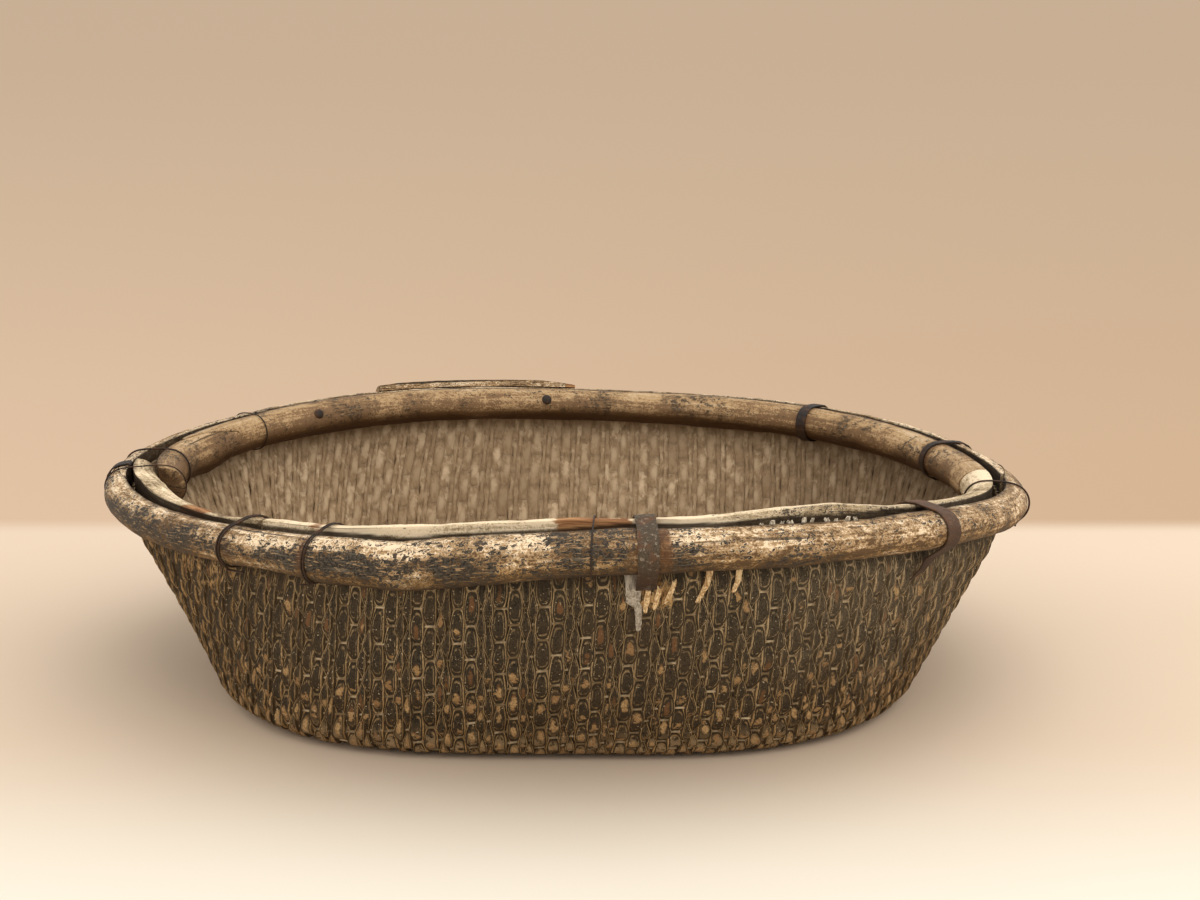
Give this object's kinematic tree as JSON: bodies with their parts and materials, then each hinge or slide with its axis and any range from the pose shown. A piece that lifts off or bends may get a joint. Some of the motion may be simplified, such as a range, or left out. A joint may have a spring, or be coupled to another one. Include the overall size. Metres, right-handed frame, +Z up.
{
  "type": "harvest basket",
  "caption": "Oval flared willow basket for carrying or sorting a harvest, with a double rim of split poles held by wires and iron straps.",
  "frame": {"origin": "on the floor under the middle of the basket's bounding box", "axes": "+X along the longer way of the rim, +Y from the front to the back, +Z up"},
  "size_m": [0.6062, 0.5316, 0.1594],
  "materials": {
    "willow_weave": "dark aged willow rods with khaki edges and tan worn spots, dusty and matt",
    "dark_pole": "split pole with flaking blackened bark over tan wood, half matt",
    "brown_pole": "handled brown pole with a dull polish and a dark underside",
    "pale_pole": "weathered grey-tan wood, dry and matt, with reddish torn spots",
    "rusty_iron": "rusted flat strap iron, rough brown",
    "black_band": "blackened flat strap iron, dull",
    "dark_wire": "dark oxidised iron wire and nails, slight sheen"
  },
  "bodies": {
    "root": {"woven_wall": "willow_weave", "woven_foot_right": "willow_weave", "woven_foot_back": "willow_weave", "woven_foot_left": "willow_weave", "woven_foot_front": "willow_weave", "woven_floor": "willow_weave", "outer_hoop_front": "dark_pole", "outer_hoop_back": "brown_pole", "outer_hoop_splice_strip": "pale_pole", "inner_hoop_front_left": "pale_pole", "inner_hoop_front_middle": "pale_pole", "inner_hoop_front_right": "pale_pole", "inner_hoop_end_block": "brown_pole", "inner_hoop_back": "brown_pole", "inner_hoop_back_left": "brown_pole", "strap_front": "rusty_iron", "strap_right": "rusty_iron", "strap_back": "black_band", "strap_back_right": "black_band", "strap_left_end": "black_band", "wire_front_left": "dark_wire", "wire_front_left_thin": "dark_wire", "wire_front_middle": "dark_wire", "wire_right_end": "dark_wire", "wire_back_left": "dark_wire", "wire_left_end": "dark_wire", "wire_left_tip": "dark_wire", "nail_back_left": "dark_wire", "nail_back_middle": "dark_wire"}
  },
  "joints": []
}
